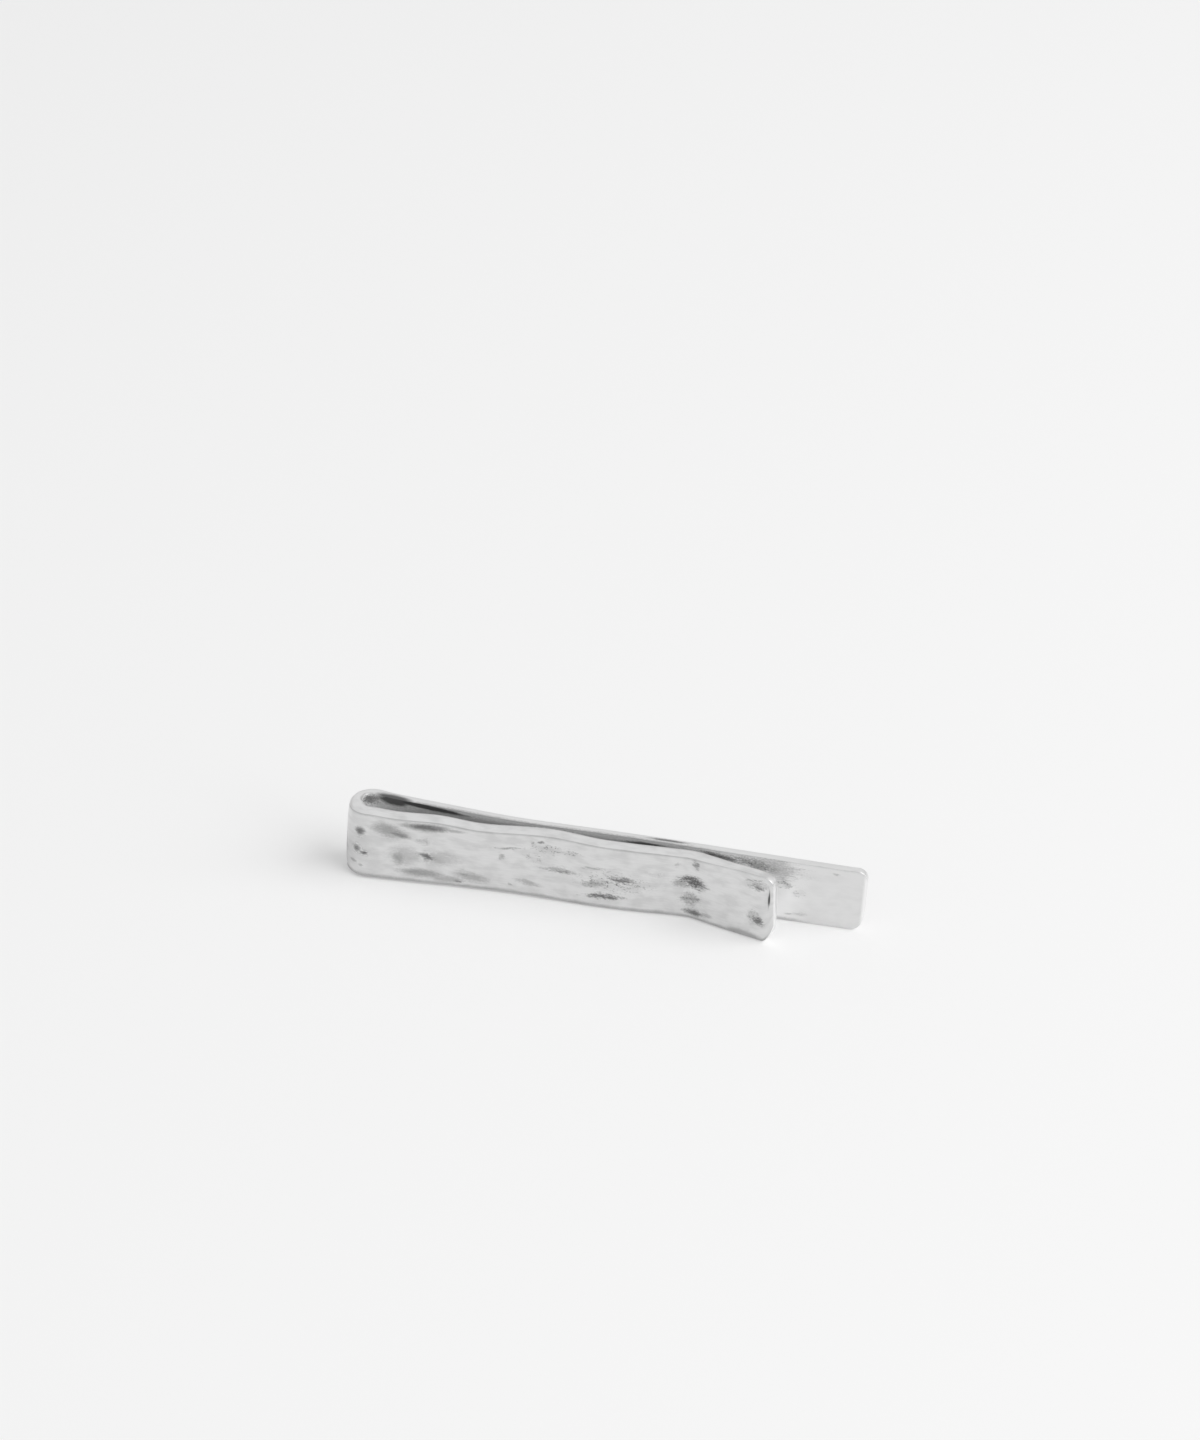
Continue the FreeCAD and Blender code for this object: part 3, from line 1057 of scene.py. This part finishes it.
    def _normals(self) -> np.ndarray:
        """Find the skin's normals, even across the cuts between the pieces.

        Returns:
            A unit normal for each point.
        """
        around = np.roll(self.points, -1, 1) - np.roll(self.points, 1, 1)
        on = np.empty_like(self.points)
        on[1:-1] = self.points[2:] - self.points[:-2]
        on[0] = self.points[1] - self.points[0]
        on[-1] = self.points[-1] - self.points[-2]
        normals = np.cross(around, on)
        normals[0] = -self.run.along[0]
        normals[-1] = self.run.along[-1]
        return normals / np.linalg.norm(normals, axis=2, keepdims=True)

    def _places(self) -> np.ndarray:
        """Find each point's place on the strip laid flat.

        Returns:
            The distance along the strip and the distance round its outline.
        """
        place = np.zeros_like(self.points)
        place[..., 0] = self._middle_run()[:, None]
        place[..., 1] = run_length(self.points[self.cuts[1]])[None, :]
        return place

    def _darken(self, block: Block, weight: np.ndarray, dark: float, rub: float) -> None:
        """Lay one darkening over those already there, where it is the darker; it serves oxide and painted shade alike.

        Args:
            block: Stations and columns that it may lie on.
            weight: How far it covers each of them.
            dark: How dark it is.
            rub: How far it was rubbed into streaks and grains.
        """
        cover, tone = self.layers[Layer.COVER][block], self.layers[Layer.TONE][block]
        darker = weight * dark > cover * tone
        for layer, value in ((Layer.COVER, weight), (Layer.TONE, dark), (Layer.RUB, rub)):
            self.layers[layer][block] = np.where(darker, value, self.layers[layer][block])

    def _lay_marks(self, surface: Surface) -> None:
        """Lay the marks of one surface on the skin, a little astray.

        Args:
            surface: The surface.
        """
        block = self._face(MARKED_SIDE[surface])
        kept = self._kept(front=surface is Surface.FRONT_FACE)
        x, height = (self.points[..., axis][block] / MM for axis in (0, 2))
        if surface is Surface.REAR_EDGE:
            height = np.broadcast_to(self.outline.sweeps()[None, :], height.shape)
        along = self.stray_reach[0] * self.stray_along.at(x, height)
        across = self.stray_reach[1] * self.stray_across.at(x, height)
        speckle = self.layers[Layer.SPECKLE]
        for mark in MARKS[surface]:
            weight = kept * mark.weight(x + mark.rub * along, height + mark.rub * across)
            self._darken(block, mark.solid * weight, mark.dark, mark.rub)
            speckle[block] = np.maximum(speckle[block], mark.speckle * weight)

    def _dull_and_shade_gap(self) -> None:
        """Dull the inner faces towards the bend, where nothing rubs them bright, and lay oxide on them and on the
        inner half of the top edge; on the inner faces painted shade is added, darker down into the gap.
        """
        inner = self._face(Side.INNER)
        x, z = (self.points[..., axis][inner] for axis in (0, 2))
        dull = ease((self.gap_end - x) / self.gap_fade)
        # Painted shade: darker down from the top edge into the gap, from near the bend on.
        depth = ease((z.max(1, keepdims=True) - z) / self.gap_shade_depth)
        depth = depth * ease((x - self.gap_shade_start) / self.gap_shade_rise)
        cover = dull * (self.gap_cover + (1 - self.gap_cover) * depth)
        self.layers[Layer.DULL][inner] = dull
        self._darken(inner, cover, self.gap_tone, self.gap_rub)
        crown = self._face(Side.TOP)
        dull = ease((self.gap_end - self.points[..., 0][crown]) / self.gap_fade)
        dull = self._kept(front=False) * dull
        near = ease((self.outline.sweeps()[None, :] - self.crown_start) / (1 - self.crown_start))
        self._darken(crown, self.crown_cover * dull * near, self.crown_tone, self.gap_rub)

    def _left(self) -> np.ndarray:
        """Distance left to the nearer tip, one row per station."""
        gone = self.layers[Layer.PLACE][:, :1, 0]
        return np.minimum(gone, gone[-1] - gone)

    def _paint_arris_shade(self) -> None:
        """Paint a dark line of shade along both faces' arrises, and paint shade over the front tip's top corner to dim
        its highlight.
        """
        clean = ease(self._left() / self.shade_free_tip)
        high, deep = self.top_arris_shade, self.low_arris_shade
        for side in (Side.OUTER, Side.INNER):
            face = self._face(side)
            x, z = (self.points[..., axis][face] for axis in (0, 2))
            top, low = z.max(1, keepdims=True) - z, z - z.min(1, keepdims=True)
            # Painted shade lines along the upper and lower arrises; the lower one is left off the tips.
            self._darken(face, high.weight(x, top), high.dark, self.painted_shade_rub)
            self._darken(face, clean * deep.weight(x, low), deep.dark, self.painted_shade_rub)
        # Painted shade over the front tip's top corner, to dim its highlight.
        corner = self._face(Side.TOP)
        gone = self.layers[Layer.PLACE][..., 0][corner]
        self._darken(corner, near_end(gone, self.corner_shade_reach), self.corner_shade_tone, self.painted_shade_rub)

    def _polish(self) -> None:
        """Paint highlights on the tips' rims and along the front tip's lower corner, and brighten the inner faces,
        partly where cloth rubs them bright and partly as painted light over the gap's shade.
        """
        polish = self.layers[Layer.POLISH]
        gone = self.layers[Layer.PLACE][:, :1, 0]
        # Painted highlights along the tips' rims and the front tip's lower corner.
        front_rim_highlight = near_end(gone, self.front_rim_highlight)
        rear_rim_highlight = near_end(gone[-1] - gone, self.rear_rim_highlight)
        polish += front_rim_highlight + self.rear_end_highlight * rear_rim_highlight
        inner, lower = self._face(Side.INNER), self._face(Side.LOWER)
        polish[inner] = np.maximum(polish[inner], rear_rim_highlight)
        polish[lower] = np.maximum(polish[lower], near_end(gone, self.lower_rim_highlight))
        # Brighter inner faces: partly rubbed bright by cloth, partly painted light lifting the narrow gap's shade.
        x = self.points[..., 0][inner]
        rubbed = ease((x - self.wear_and_light_start) / self.wear_and_light_fade)
        rubbed = rubbed * ease((self.wear_and_light_end - x) / self.wear_and_light_fade)
        polish[inner] = np.maximum(polish[inner], rubbed)

    def piece(self, name: str, first: int, last: int) -> bpy.types.Object:
        """Cut a piece from the skin and close its ends.

        Args:
            name: The piece's name.
            first: Its first station.
            last: Its last station.

        Returns:
            The piece as an object in the scene.
        """
        rows, columns = last - first + 1, self.points.shape[1]
        index = np.arange(rows * columns).reshape(rows, columns)
        on = np.roll(index, -1, 1)
        quads = np.stack([index[:-1], on[:-1], on[1:], index[1:]], -1).reshape(-1, 4)
        faces = quads.tolist() + self._lid(index[0], False) + self._lid(index[-1], True)
        span = slice(first, last + 1)
        mesh = bpy.data.meshes.new(name)
        mesh.from_pydata(self.points[span].reshape(-1, 3).tolist(), [], faces)
        mesh.shade_smooth()
        mesh.normals_split_custom_set_from_vertices(self.normals[span].reshape(-1, 3).tolist())
        for layer, values in self.layers.items():
            kind, key = ("FLOAT_VECTOR", "vector") if layer is Layer.PLACE else ("FLOAT", "value")
            kept = mesh.attributes.new(layer.value, kind, "POINT")
            kept.data.foreach_set(key, values[span].astype(np.float32).ravel())
        made = bpy.data.objects.new(name, mesh)
        bpy.context.scene.collection.objects.link(made)
        return made

    def _lid(self, ring: np.ndarray, forward: bool) -> list[list[int]]:
        """Faces that close an end of a piece, from the outer face across to the inner one.

        Args:
            ring: Indices of the end's points.
            forward: Whether the end faces on along the strip.

        Returns:
            The faces.
        """
        outer = ring[self._columns(Side.OUTER)]
        inner = ring[self._columns(Side.INNER)][::-1]
        faces = [[outer[k], outer[k + 1], inner[k + 1], inner[k]] for k in range(len(outer) - 1)]
        faces.append([outer[-1], *ring[self._columns(Side.TOP)], inner[-1]])
        faces.append([inner[0], *ring[self._columns(Side.LOWER)], outer[0]])
        return [[int(i) for i in (face if forward else face[::-1])] for face in faces]


@dataclass(kw_only=True)
class ClipPiece:
    """A piece of the clip: measured on its CAD node, cut from the skin, dressed and attached."""

    node: str
    title: str
    finish: Silver
    gauge: Gauge = field(init=False)
    made: bpy.types.Object = field(init=False)

    def __post_init__(self) -> None:
        """Take a gauge to the piece's node."""
        self.gauge = Gauge(self.node)

    def build(self, skin: Skin, first: int, last: int) -> None:
        """Cut the piece's mesh from the skin between two stations."""
        self.made = skin.piece(self.title, first, last)

    def dress(self, effects: Effects) -> None:
        """Give the piece its finish, and let it stand for its CAD node.

        Args:
            effects: The shared effects, which make the finish's material.
        """
        self.made.data.materials.append(effects.material(self.finish))
        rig.replaces(self.made, self.node)
        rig.slot(self.made, SLOT)

    def attach(self) -> None:
        """Let the piece ride on the body of its node."""
        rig.ride(self.made, self.node)

    def report(self) -> None:
        """Log what was made."""
        log.info("%s: %d faces in %s", self.title, len(self.made.data.polygons), self.finish.name)


@dataclass(kw_only=True)
class SpringBend(ClipPiece):
    """The half turn that joins the legs: a ring sector on the joint's axis, a little barrelled."""

    node: str = "spring_bend"
    title: str = "sprung_bend"
    finish: Silver = HAMMERED
    bodies: tuple[str, str] = ("rear_leg", "front_bar")
    stations: int = 64
    swing_share: float = 0.9
    shoulder: float = 0.16 * MM
    shoulder_power: int = 4
    root: float = 0.2 * MM
    fullest: float = 0.42 * MM
    fullest_at: float = 0.26
    thinned_by: float = 0.72
    centre: np.ndarray = field(init=False)
    inner_radius: float = field(init=False)

    def __post_init__(self) -> None:
        """Find the turn's axis and inner radius on the frame."""
        super().__post_init__()
        self.centre = np.array(frame["joints"][0]["pos_m"], float)
        self.inner_radius = self.gauge.probe(self.centre, np.array([-1.0, 0.0, 0.0]))

    def lean(self, leg: str) -> float:
        """How far a leg's first section leans past square, read from where the leg starts."""
        return math.asin((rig.box(leg)[0].x - self.centre[0]) / self.inner_radius)

    def radius_at(self, height: float) -> float:
        """Outer radius of the turn at a height."""
        start = np.array([self.centre[0] - FAR, self.centre[1], height])
        return FAR - self.gauge.probe(start, np.array([1.0, 0.0, 0.0]))

    def measure(self, outline: Outline) -> Run:
        """Measure the turn from the front bar round to the rear leg.

        Args:
            outline: The cross-section that will be laid on the stations.

        Returns:
            The stations of the turn.
        """
        rear, front = self.bodies
        first = self.lean(front) - math.pi / 2
        last = math.pi / 2 - self.lean(rear) - 2 * math.pi
        turn = np.linspace(first, last, self.stations + 1)
        zero = np.zeros_like(turn)
        outward = np.stack([np.cos(turn), np.sin(turn), zero], 1)
        along = np.stack([np.sin(turn), -np.cos(turn), zero], 1)
        floor, crest = self.gauge.low[2], self.gauge.high[2]
        margin = (crest - floor) * outline.margin_share
        low, top = self.radius_at(floor + margin), self.radius_at(crest - margin)
        place = np.array([self.centre[0], self.centre[1], 0.0]) + self.inner_radius * outward
        share = np.linspace(0.0, 1.0, self.stations + 1)
        swell = np.sin(math.pi * share) ** 2
        barrel = np.abs(2 * outline.shares() - 1) ** self.shoulder_power
        return Run(
            place=place,
            along=along,
            outward=outward,
            low=zero + floor,
            top=zero + crest,
            thick_low=zero + low - self.inner_radius,
            thick_top=zero + top - self.inner_radius,
            relief=self.shoulder * swell[:, None] * barrel[None, :],
            crown=zero + 1.0,
            inset_outer=zero,
            inset_inner=-self._fuller(share),
            skew=zero,
        )

    def _fuller(self, share: np.ndarray) -> np.ndarray:
        """Find how much thicker the strip was left on the inside.

        Args:
            share: Shares of the turn, from the front bar.

        Returns:
            The thickness added at each of them.
        """
        rising = self.root + (self.fullest - self.root) * ease(share / self.fullest_at)
        thinning = self.thinned_by - self.fullest_at
        falling = self.fullest * ease((self.thinned_by - share) / thinning)
        return np.where(share < self.fullest_at, rising, falling)

    def attach(self) -> None:
        """Let the turn bend between the two legs."""
        swing = Vector((0, self.swing_share * self.inner_radius, 0))
        centre = Vector(self.centre)
        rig.blend(self.made, *self.bodies, centre + swing, centre - swing)


@dataclass(kw_only=True)
class Leg(ClipPiece):
    """One leg of the clip, measured along its inner face from the bend to its tip."""

    bend: SpringBend
    outward_y: int
    top_corner: Corner
    low_corner: Corner
    outer_round: Corner
    inner_round: Corner
    clear: float
    added: float = 0.0
    tuck: float = 0.0
    root: float = 0.0
    root_reach: float = 9.0 * MM
    slim: float = 0.0
    slim_reach: float = 9.0 * MM
    slim_over: float = 5.5 * MM
    tip_crown: float = 0.35
    tip_crown_reach: float = 1.8 * MM
    far_crown: float = 1.0
    far_from: float = 17.0 * MM
    far_over: float = 8.0 * MM
    pitch: float = 0.17 * MM
    evening: float = 0.33 * MM
    tip_stations: int = 14
    tip_clear: float = 0.7 * MM
    skew_share: float = 0.15
    probe_depth: float = 0.4 * MM
    probe_spread: float = 1.2 * MM
    seam_clear: float = 0.01 * MM
    start: np.ndarray = field(init=False)
    middle: float = field(init=False)
    line: np.ndarray = field(init=False)
    heading: np.ndarray = field(init=False)
    length: float = field(init=False)
    tilt: float = field(init=False)

    def __post_init__(self) -> None:
        """Find the leg's line and its end on the frame."""
        super().__post_init__()
        lean = self.bend.lean(self.node)
        off = np.array([math.sin(lean), self.outward_y * math.cos(lean)])
        self.start = self.bend.centre[:2] + self.bend.inner_radius * off
        self.middle = (self.gauge.low[2] + self.gauge.high[2]) / 2
        self.line, self.heading = self._inner_line(lean)
        self.length, self.tilt = self._end()

    def _inner_line(self, lean: float) -> tuple[np.ndarray, np.ndarray]:
        """Walk along the inner face in plan.

        Args:
            lean: How far the leg's first section leans past square.

        Returns:
            Points of the line at an even pitch, and its unit headings.
        """
        last = self.gauge.high[0] - self.tip_clear
        count = int((last - self.start[0]) / self.pitch)
        across = np.linspace(self.start[0], last, count)
        way = np.array([0.0, float(self.outward_y), 0.0])
        starts = [np.array([x, 0, self.middle]) - FAR * way for x in across[1:]]
        found = [self.outward_y * (self.gauge.probe(start, way) - FAR) for start in starts]
        rise = evened(np.array([self.start[1], *found]), across[1] - across[0], self.evening)
        points = np.stack([across, rise], 1)
        gone = run_length(points)
        even = np.arange(0.0, gone[-1], self.pitch)
        line = np.stack([np.interp(even, gone, points[:, k]) for k in (0, 1)], 1)
        heading = np.gradient(line, axis=0)
        heading[0] = [math.cos(lean), -self.outward_y * math.sin(lean)]
        return line, heading / np.linalg.norm(heading, axis=1, keepdims=True)

    def _at(self, distance: np.ndarray) -> tuple[np.ndarray, np.ndarray]:
        """Follow the line, and go straight on past its end.

        Args:
            distance: Distances from the bend.

        Returns:
            The points there, and the unit headings.
        """
        marks = np.arange(len(self.line)) * self.pitch
        beyond = np.maximum(distance - marks[-1], 0.0)[:, None]
        heading = np.stack([np.interp(distance, marks, self.heading[:, k]) for k in (0, 1)], 1)
        point = np.stack([np.interp(distance, marks, self.line[:, k]) for k in (0, 1)], 1)
        zero = np.zeros((len(distance), 1))
        heading /= np.linalg.norm(heading, axis=1, keepdims=True)
        return np.hstack([point + beyond * heading, zero]), np.hstack([heading, zero])

    def _outward(self, heading: np.ndarray) -> np.ndarray:
        """The way from the inner face to the outer face."""
        sign = self.outward_y
        return np.stack([-sign * heading[:, 1], sign * heading[:, 0], np.zeros(len(heading))], 1)

    def _end(self) -> tuple[float, float]:
        """Find the leg's end.

        Returns:
            The leg's length at middle height, and how far its end leans along per unit of height.
        """
        back = len(self.line) * self.pitch - 2 * self.clear
        place, heading = self._at(np.array([back]))
        inside = place[0] + self._outward(heading)[0] * self.probe_depth
        low, high = self.middle - self.probe_spread, self.middle + self.probe_spread
        heights = (low, self.middle, high)
        ends = [self.gauge.probe(inside + UP * height, heading[0]) for height in heights]
        return back + ends[1] + self.added, (ends[2] - ends[0]) / (high - low)

    def _thickness(self, place: np.ndarray, outward: np.ndarray, height: np.ndarray) -> np.ndarray:
        """Distance from the inner line to the outer face, one value per station."""
        probes = zip(place + outward * FAR + UP * height[:, None], -outward)
        return np.array([FAR - self.gauge.probe(start, way) for start, way in probes])

    def measure(self, outline: Outline) -> Run:
        """Measure the leg from the bend to its tip.

        Args:
            outline: The cross-section that will be laid on the stations.

        Returns:
            The stations of the leg.
        """
        sure = np.arange(0.0, self.length - self.added - self.clear - self.pitch, self.pitch)
        place, heading = self._at(sure)
        outward = self._outward(heading)
        over = place + outward * self.probe_depth + UP * FAR
        top = np.array([FAR - self.gauge.probe(point, -UP) for point in over])
        margin = outline.margin_share * (self.gauge.high[2] - self.gauge.low[2])
        inside = place + heading * self.seam_clear
        thick_low = self._thickness(inside, outward, np.full(len(sure), margin))
        thick_top = self._thickness(inside, outward, top - margin)
        relief = []
        for share in outline.shares():
            plain = thick_low * (1 - share) + thick_top * share
            height = margin + share * (top - 2 * margin)
            relief.append(plain - self._thickness(inside, outward, height))
        rows = np.stack([top, thick_low, thick_top, *relief], 1)
        return self._with_tip(sure, evened(rows, self.pitch, self.evening))

    def _with_tip(self, sure: np.ndarray, rows: np.ndarray) -> Run:
        """Carry the measured rows on round the corners of the tip.

        Args:
            sure: Distances of the measured stations.
            rows: Top, thickness low and high, and relief at each of them.

        Returns:
            The stations of the leg, tip included.
        """
        corners = (self.top_corner, self.low_corner, self.outer_round, self.inner_round)
        reach = max(corner.along for corner in corners)
        turn = np.linspace(0.0, math.pi / 2, self.tip_stations + 1)
        body = np.arange(0.0, self.length - reach - self.pitch / 2, self.pitch)
        distance = np.concatenate([body, self.length - reach * (1 - np.sin(turn))])
        left = np.maximum(self.length - distance, 0.0)
        held = np.stack([np.interp(distance, sure, rows[:, k]) for k in range(rows.shape[1])], 1)
        place, heading = self._at(distance)
        fade = ease(left / self.clear)[:, None]
        near = ease((distance / self.length - 1 + self.skew_share) / self.skew_share)
        slim = self.slim * ease((self.slim_reach - left) / self.slim_over)
        root = self.root * ease(1 - distance / self.root_reach)
        flatter = 1 - (1 - self.far_crown) * ease((distance - self.far_from) / self.far_over)
        outward = self._outward(heading)
        return Run(
            place=place - self.tuck * near[:, None] * outward,
            along=heading,
            outward=outward,
            low=self.low_corner.drawn_in(left),
            top=held[:, 0] - self.top_corner.drawn_in(left),
            thick_low=held[:, 1],
            thick_top=held[:, 2],
            relief=held[:, 3:] * fade,
            crown=flatter * (1 - (1 - self.tip_crown) * ease(1 - left / self.tip_crown_reach)),
            inset_outer=self.outer_round.drawn_in(left),
            inset_inner=self.inner_round.drawn_in(left) + slim - root,
            skew=self.tilt * near,
        )


@dataclass(kw_only=True)
class FrontBar(Leg):
    """The short hammered leg that shows on the tie."""

    node: str = "front_bar"
    title: str = "hammered_front_bar"
    finish: Silver = HAMMERED
    outward_y: int = -1
    top_corner: Corner = Corner(1.5 * MM, 1.1 * MM)
    low_corner: Corner = Corner(1.3 * MM, 2.7 * MM, 1.5)
    outer_round: Corner = Corner(0.18 * MM, 0.5 * MM)
    inner_round: Corner = Corner(0.25 * MM, 0.35 * MM)
    clear: float = 1.15 * MM
    tip_crown: float = 0.15
    far_crown: float = 0.6
    added: float = 0.3 * MM
    tuck: float = 0.145 * MM
    slim: float = 0.4 * MM
    root: float = SpringBend.root


@dataclass(kw_only=True)
class RearLeg(Leg):
    """The long flat leg that goes behind the tie."""

    node: str = "rear_leg"
    title: str = "plain_rear_leg"
    finish: Silver = SATIN
    outward_y: int = 1
    top_corner: Corner = Corner(1.25 * MM, 1.25 * MM)
    low_corner: Corner = Corner(1.3 * MM, 2.0 * MM)
    outer_round: Corner = Corner(0.3 * MM, 0.3 * MM)
    inner_round: Corner = Corner(0.3 * MM, 0.3 * MM)
    clear: float = 2.1 * MM
    added: float = -0.005 * MM


class TieClip:
    """The clip: one strip of silver folded into a hairpin."""

    def __init__(self) -> None:
        """Measure the strip on the frame and lay its skin."""
        self.outline = Outline()
        self.bend = SpringBend()
        self.front = FrontBar(bend=self.bend)
        self.rear = RearLeg(bend=self.bend)
        self.skin = Skin(
            outline=self.outline,
            front=self.front.measure(self.outline).turned_round(),
            bend=self.bend.measure(self.outline),
            rear=self.rear.measure(self.outline),
        )

    def build(self, effects: Effects) -> None:
        """Cut, dress and attach the pieces in order along the strip.

        Args:
            effects: The shared effects.
        """
        cuts = self.skin.cuts
        for piece, first, last in zip((self.front, self.bend, self.rear), cuts, cuts[1:]):
            piece.build(self.skin, first, last)
            piece.dress(effects)
            piece.attach()
            piece.report()


@dataclass(frozen=True)
class PhotoCamera:
    """The camera at the photograph's place: a long lens, looking down on the clip's front."""

    lens_mm: float = 100.0
    sensor_mm: float = 36.0
    distance: float = 416.03 * MM
    azimuth: float = 10.877
    elevation: float = 33.0
    foot_y: float = -0.2935 * MM
    pan: float = 10.981
    tilt: float = 30.377
    roll: float = 2.0
    near: float = 0.01
    far: float = 20.0

    def place(self) -> None:
        """Set the camera up and make it the scene's."""
        azimuth, elevation = math.radians(self.azimuth), math.radians(self.elevation)
        level = math.cos(elevation)
        back = Vector((math.sin(azimuth) * level, -math.cos(azimuth) * level, math.sin(elevation)))
        data = bpy.data.cameras.new("photo_camera")
        data.lens, data.sensor_width, data.sensor_fit = self.lens_mm, self.sensor_mm, "AUTO"
        data.clip_start, data.clip_end = self.near, self.far
        made = bpy.data.objects.new("photo_camera", data)
        turn = (
            Matrix.Rotation(math.radians(self.pan), 4, "Z")
            @ Matrix.Rotation(math.radians(90 - self.tilt), 4, "X")
            @ Matrix.Rotation(math.radians(self.roll), 4, "Z")
        )
        stand = back * self.distance + Vector((0, self.foot_y, 0))
        made.matrix_world = Matrix.Translation(stand) @ turn
        bpy.context.scene.collection.objects.link(made)
        bpy.context.scene.camera = made


@dataclass(frozen=True)
class Softbox:
    """A square soft lamp aimed at the clip."""

    name: str
    place: tuple[float, float, float]
    size: float
    watts: float

    def light(self) -> None:
        """Hang the lamp."""
        data = bpy.data.lights.new(self.name, "AREA")
        data.shape, data.size, data.energy = "SQUARE", self.size, self.watts
        made = bpy.data.objects.new(self.name, data)
        made.location = self.place
        made.rotation_euler = (-Vector(self.place)).to_track_quat("-Z", "Y").to_euler()
        bpy.context.scene.collection.objects.link(made)


@dataclass(frozen=True)
class Studio:
    """A pale floor under a pale sky, with one soft lamp."""

    floor_half: float = 1.5
    floor_grey: float = 0.88
    floor_roughness: float = 0.9
    floor_gloss: float = 0.1
    floor_glow: float = 0.28
    sky: float = 0.56
    mirrored: float = 0.9
    horizon: float = 0.6
    horizon_rise: float = 0.35
    backdrop: float = 0.94
    lamps: tuple[Softbox, ...] = (
        Softbox("right_softbox", place=(1.3, -0.2, 0.87), size=1.7, watts=28.0),
    )

    def build(self) -> None:
        """Make the floor, the sky and the lamps."""
        self._floor()
        self._sky()
        for lamp in self.lamps:
            lamp.light()
        bpy.context.scene.view_settings.view_transform = "Standard"

    def _floor(self) -> None:
        """Lay a large flat floor that glows a little, so that it is as pale as the backdrop."""
        half, grey = self.floor_half, self.floor_grey
        mesh = bpy.data.meshes.new("floor")
        corners = [(-half, -half, 0), (half, -half, 0), (half, half, 0), (-half, half, 0)]
        mesh.from_pydata(corners, [], [(0, 1, 2, 3)])
        made = bpy.data.objects.new("floor", mesh)
        bpy.context.scene.collection.objects.link(made)
        paint = bpy.data.materials.new("pale_floor")
        paint.use_nodes = True
        graph = Graph(paint.node_tree)
        shader = paint.node_tree.nodes["Principled BSDF"]
        graph.feed(shader.inputs["Base Color"], (grey, grey, grey, 1.0))
        graph.feed(shader.inputs["Roughness"], self.floor_roughness)
        graph.feed(shader.inputs["Specular IOR Level"], self.floor_gloss)
        glow = graph.node("ShaderNodeEmission")
        graph.feed(glow.inputs["Strength"], self.backdrop)
        path = graph.node("ShaderNodeLightPath").outputs
        seen = graph.math("MAXIMUM", path["Is Camera Ray"], self._mirrored(graph))
        both = graph.node("ShaderNodeMixShader")
        graph.feed(both.inputs[0], graph.math("MULTIPLY", seen, self.floor_glow))
        graph.feed(both.inputs[1], shader.outputs["BSDF"])
        graph.feed(both.inputs[2], glow.outputs["Emission"])
        output = paint.node_tree.nodes["Material Output"]
        graph.feed(output.inputs["Surface"], both.outputs["Shader"])
        mesh.materials.append(paint)
        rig.stage(made)

    @staticmethod
    def _mirrored(graph: Graph) -> bpy.types.NodeSocket:
        """1 for what is seen in a reflection or through glass."""
        path = graph.node("ShaderNodeLightPath").outputs
        return graph.math("MAXIMUM", path["Is Glossy Ray"], path["Is Transmission Ray"])

    def _sky(self) -> None:
        """Make a pale sky, darker along the horizon, with an even backdrop for the camera."""
        world = bpy.data.worlds.new("studio")
        bpy.context.scene.world = world
        world.use_nodes = True
        graph = Graph(world.node_tree)
        shader = world.node_tree.nodes["Background"]
        parts = graph.node("ShaderNodeSeparateXYZ")
        graph.feed(parts.inputs[0], graph.node("ShaderNodeTexCoord").outputs["Generated"])
        lift = graph.step(parts.outputs["Z"], 0.0, self.horizon_rise)
        path = graph.node("ShaderNodeLightPath").outputs
        mirrored = graph.blend(lift, self.horizon, self.mirrored)
        level = graph.blend(self._mirrored(graph), self.sky, mirrored)
        graph.feed(shader.inputs["Color"], graph.blend(path["Is Camera Ray"], level, self.backdrop))


def main() -> None:
    """Build the clip, the studio and the camera."""
    logging.basicConfig(level=logging.INFO, format="%(name)s: %(message)s")
    TieClip().build(Effects())
    Studio().build()
    PhotoCamera().place()
    visual_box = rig.bounds()
    with open(SIZE_FILE, "w") as file:
        json.dump({"cad": [list(c) for c in cad_box], "visual": [list(c) for c in visual_box]}, file)
    log.info("visual box %s to %s", *[tuple(round(v / MM, 3) for v in c) for c in visual_box])


if __name__ == "__main__":
    main()
